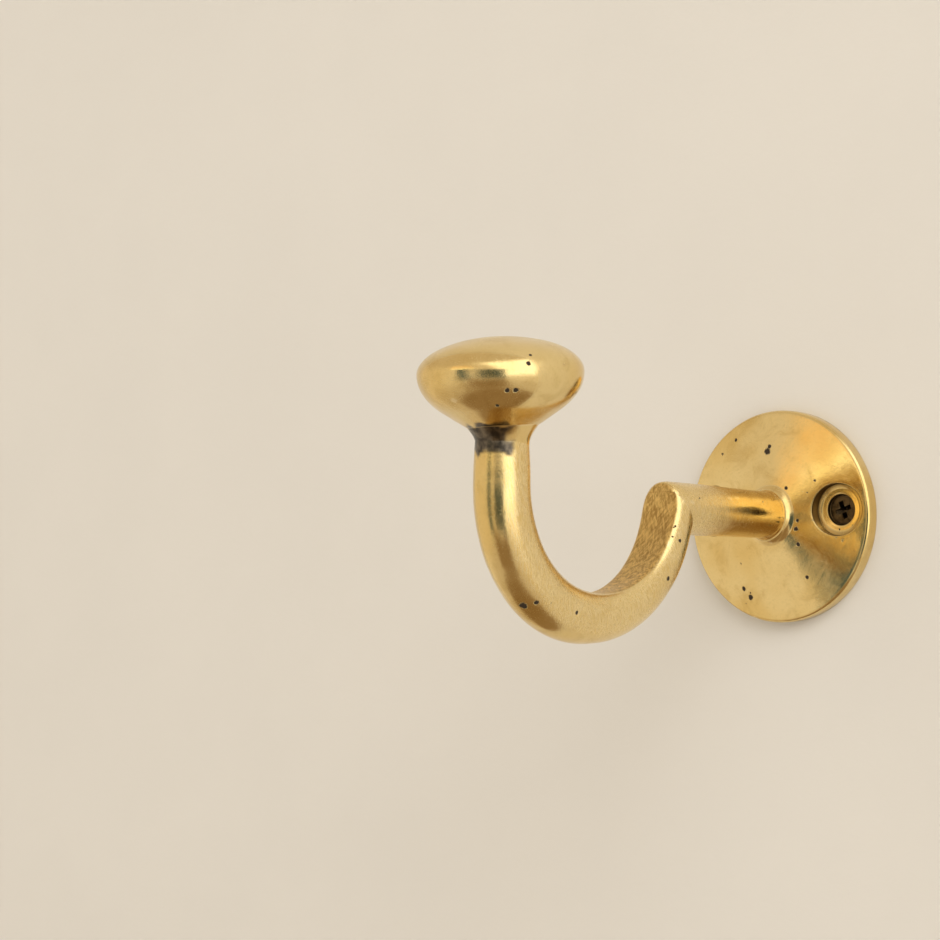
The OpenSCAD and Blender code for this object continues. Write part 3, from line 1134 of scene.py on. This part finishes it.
def paint(name, tone, see_through_behind=False):
    """Matt wall paint with a faint roller texture; a wall may be seen through from behind."""
    material, tree, shader, where = new_material(name)
    cloud = noise(tree, where, 60.0, 3.0)
    roller = noise(tree, where, 1.6, 4.0, 0.6)
    darker = rgb(*[c * 0.96 for c in tone[:3]])
    colour = blend_colour(tree, remap(tree, cloud, 0.3, 0.7, 0.0, 0.5), tone, darker)
    finish_material(tree, shader, colour, 0.75, bump(tree, roller, 0.35, 0.10), 0.0)
    if see_through_behind:
        clear = node(tree, "BsdfTransparent")
        behind = node(tree, "NewGeometry").outputs["Backfacing"]
        mixed = node(tree, "MixShader", {0: behind, 1: shader.outputs[0], 2: clear.outputs[0]})
        output = next(n for n in tree.nodes if n.type == "OUTPUT_MATERIAL")
        tree.links.new(mixed.outputs[0], output.inputs["Surface"])
    return material


def stage_wall(half, floor_z):
    """The wall, open just behind the plate, so that the plate's back is lit when it is looked at."""
    opening = (PLATE_R - 0.3) * MM
    count = 128
    points = []
    for turn in angles(count):
        across, above = math.cos(turn), math.sin(turn)
        reach = half / max(abs(across), abs(above))
        points.append((opening * across, 0.0, opening * above))
        points.append((reach * across, 0.0, max(reach * above, floor_z)))
    size = 2 * count
    faces = [(i, i + 1, (i + 3) % size, (i + 2) % size) for i in range(0, size, 2)]
    stage_sheet("stage_wall", points, faces, paint("wall_paint", rgb(0.75, 0.735, 0.715), True))


def stage():
    half, floor_z, front, back = 1.2, -0.19, -1.6, 0.6
    stage_wall(half, floor_z)
    corners = [(x, y, floor_z) for x, y in ((-half, front), (half, front), (half, back), (-half, back))]
    floor = stage_sheet("stage_floor", corners, [(0, 1, 2, 3)], paint("floor_paint", rgb(0.70, 0.68, 0.64)))
    floor.visible_glossy = False


# ---- Light and camera ----
def direction_of(azimuth, elevation):
    """Unit vector towards a place round the hook: azimuth 0 is in front of it and 90 to its right."""
    a, e = math.radians(azimuth), math.radians(elevation)
    return Vector((math.sin(a) * math.cos(e), -math.cos(a) * math.cos(e), math.sin(e)))


def room_light():
    """A plain room as the hook mirrors it: pale walls and ceiling, a warm floor, one bright window."""
    world = bpy.data.worlds.new("room")
    bpy.context.scene.world = world
    world.use_nodes = True
    tree = world.node_tree
    tree.nodes.clear()
    ray = node(tree, "TexCoord").outputs["Generated"]
    height = node(tree, "SeparateXYZ", {0: ray}).outputs[2]
    ceiling = remap(tree, height, 0.15, 0.6)
    ground = remap(tree, height, -0.40, -0.70)
    below = remap(tree, height, -0.80, -0.87)
    colour = blend_colour(tree, ceiling, rgb(1.14, 1.00, 0.80), rgb(0.90, 0.76, 0.58))
    colour = blend_colour(tree, ground, colour, rgb(0.88, 0.74, 0.56))
    colour = blend_colour(tree, below, colour, rgb(0.42, 0.28, 0.15))

    def patch(azimuth, elevation, wide, tall, tone, soft=0.03):
        """Paints a soft-edged rectangle on the room."""
        nonlocal colour
        facing = direction_of(azimuth, elevation)
        right = Vector((0, 0, 1)).cross(facing).normalized()
        above = facing.cross(right)
        ahead, across, upward = [
            vector_calc(tree, "DOT_PRODUCT", ray, direction, "Value") for direction in (facing, right, above)
        ]
        inside_wide = remap(tree, calc(tree, "ABSOLUTE", across), wide + soft, wide - soft)
        inside_tall = remap(tree, calc(tree, "ABSOLUTE", upward), tall + soft, tall - soft)
        amount = times(tree, inside_wide, inside_tall)
        amount = times(tree, amount, calc(tree, "GREATER_THAN", ahead, 0.0))
        colour = blend_colour(tree, amount, colour, tone)

    patch(-14, 22, 0.26, 0.12, rgb(1.5, 1.1, 0.65), 0.08)
    patch(-12, 14, 0.26, 0.05, rgb(2.1, 1.9, 1.3), 0.04)
    patch(22, -43, 0.42, 0.24, rgb(0.42, 0.28, 0.15), 0.05)
    patch(85, 24, 0.72, 0.60, rgb(2.4, 2.3, 2.1), 0.12)
    patch(-11, -8, 0.135, 0.32, rgb(0.11, 0.17, 0.19), 0.02)
    patch(30, -9, 0.32, 0.28, rgb(0.09, 0.13, 0.14), 0.03)
    seen = node(tree, "LightPath").outputs["Is Camera Ray"]
    colour = blend_colour(tree, seen, colour, rgb(1.0, 0.93, 0.82))
    background = node(tree, "Background", {"Color": colour, "Strength": 0.75})
    node(tree, "OutputWorld", {"Surface": background.outputs[0]})


def soft_lamp(name, azimuth, elevation, distance, size, power, tone):
    """A square soft box that faces the hook."""
    lamp = bpy.data.lights.new(name, "AREA")
    lamp.shape = "SQUARE"
    lamp.size = size
    lamp.energy = power
    lamp.color = tone
    holder = bpy.data.objects.new(name, lamp)
    middle = Vector((0.0, -0.045, 0.0))
    towards = direction_of(azimuth, elevation)
    holder.location = middle + towards * distance
    holder.rotation_euler = towards.to_track_quat("Z", "Y").to_euler()
    holder.visible_glossy = False
    bpy.context.scene.collection.objects.link(holder)


CAMERA_SIDE = 42.41
CAMERA_PITCH = 2.485
CAMERA_ROLL = 0.438
CAMERA_DISTANCE = 440.7
CAMERA_SHIFT_ASIDE = 65.76
CAMERA_SHIFT_UP = -9.69
LENS = 80.98
SENSOR = 36.0


def camera():
    """The viewing angle of the reference: from the right, a little below, looking slightly up."""
    yaw, pitch, roll = [math.radians(a) for a in (CAMERA_SIDE, CAMERA_PITCH, CAMERA_ROLL)]
    ahead = Vector((-math.sin(yaw) * math.cos(pitch), math.cos(yaw) * math.cos(pitch), math.sin(pitch)))
    level = Vector((math.cos(yaw), math.sin(yaw), 0.0))
    above = level.cross(ahead)
    right = level * math.cos(roll) + above * math.sin(roll)
    up = above * math.cos(roll) - level * math.sin(roll)
    lens = bpy.data.cameras.new("camera")
    lens.lens = LENS
    lens.sensor_width = SENSOR
    lens.clip_start = 0.01
    lens.clip_end = 20.0
    holder = bpy.data.objects.new("camera", lens)
    spot = -(ahead * CAMERA_DISTANCE + right * CAMERA_SHIFT_ASIDE + up * CAMERA_SHIFT_UP) * MM
    turn = Matrix((right, up, -ahead)).transposed().to_4x4()
    holder.matrix_world = Matrix.Translation(spot) @ turn
    bpy.context.scene.collection.objects.link(holder)
    bpy.context.scene.camera = holder


# ---- Larger pits ----
# Each lies on its part's own surface and has a radius in millimetres.
def on_plate(degrees, away, radius):
    """A pit on the plate: degrees round it from its right-hand side, and the distance from its middle."""
    a = math.radians(degrees)
    return away * math.cos(a), cone_out(away), away * math.sin(a), radius


def on_bend(round_bend, round_bar, radius):
    """A pit on the bent bar: degrees round the bend, and round the bar from the inside of the bend."""
    phi, theta = math.radians(round_bend), math.radians(round_bar)
    rho = BEND_R - BAR_R * math.cos(theta) + front_bulge(phi, math.cos(theta))
    return BAR_R * math.sin(theta), BEND_OUT + rho * math.cos(phi), BEND_UP + rho * math.sin(phi), radius


def on_knob(degrees, above, radius):
    """A pit on the knob: degrees round from its right-hand side, and the height above its widest circle."""
    a = math.radians(degrees)
    half = KNOB_CROWN if above > 0 else KNOB_BELLY
    away = KNOB_R * math.sqrt(1 - (above / half) ** 2)
    upright = place(away * math.cos(a), FRONT_OUT + away * math.sin(a), KNOB_UP + above)
    aside, inward, up = lean(upright)
    return aside, -inward, up, radius


PLATE_PITS = [
    on_plate(96, 13.5, 0.8), on_plate(94, 14.5, 0.5), on_plate(122, 19, 0.4), on_plate(250, 18, 0.6),
    on_plate(243, 17, 0.5), on_plate(54, 7, 0.4), on_plate(-8, 7, 0.4), on_plate(-41, 9, 0.5),
    on_plate(-57, 15, 0.4),
]
BAR_PITS = [
    on_bend(312, 163, 0.8), on_bend(311, 137, 0.5), on_bend(292, 98, 0.4), on_bend(206, 80, 0.4),
    on_bend(225, 94, 0.5),
]
KNOB_PITS = [
    on_knob(26, 2.5, 0.3), on_knob(29, 1.0, 0.4), on_knob(44, -3.5, 0.5), on_knob(38, -3.5, 0.5),
    on_knob(52, -6.0, 0.4),
]

# ---- Build ----
plate_brass = brass("plate_brass", places=PLATE_PITS, satin=0.15, pit_share=0.05)
bar_brass = brass("bar_brass", places=BAR_PITS, satin=0.35, pit_share=0.012)
knob_brass = brass("knob_brass", places=KNOB_PITS, satin=0.45, pit_share=0.02)
root_metal = brass("root_braze", satin=0.3, pit_share=0.08, pale=0.12)
seam_metal = brass("seam_braze", satin=0.4, pit_share=0.0, pale=0.05)
neck_metal = brass("neck_braze_metal", satin=0.3, pit_share=0.05, pale=0.1)
bronze = screw_metal("bronzed_screw")

wall_plate(plate_brass)
post(bar_brass)
plate_solder(root_metal)
elbow_seam(seam_metal)
arm(bar_brass)
neck_solder(neck_metal)
knob(knob_brass)
wall_screw("screw_right", "wall_screw_right", "screw_right", HOLES[0], math.radians(20), bronze)
wall_screw("screw_left", "wall_screw_left", "screw_left", HOLES[1], math.radians(55), bronze)

stage()
room_light()
soft_lamp("window_lamp", 55, 35, 1.3, 0.7, 5.0, (1.0, 0.97, 0.93))
soft_lamp("fill_lamp", -50, 25, 1.4, 0.9, 1.0, (1.0, 0.97, 0.93))
camera()

bpy.context.scene.view_settings.view_transform = "Standard"
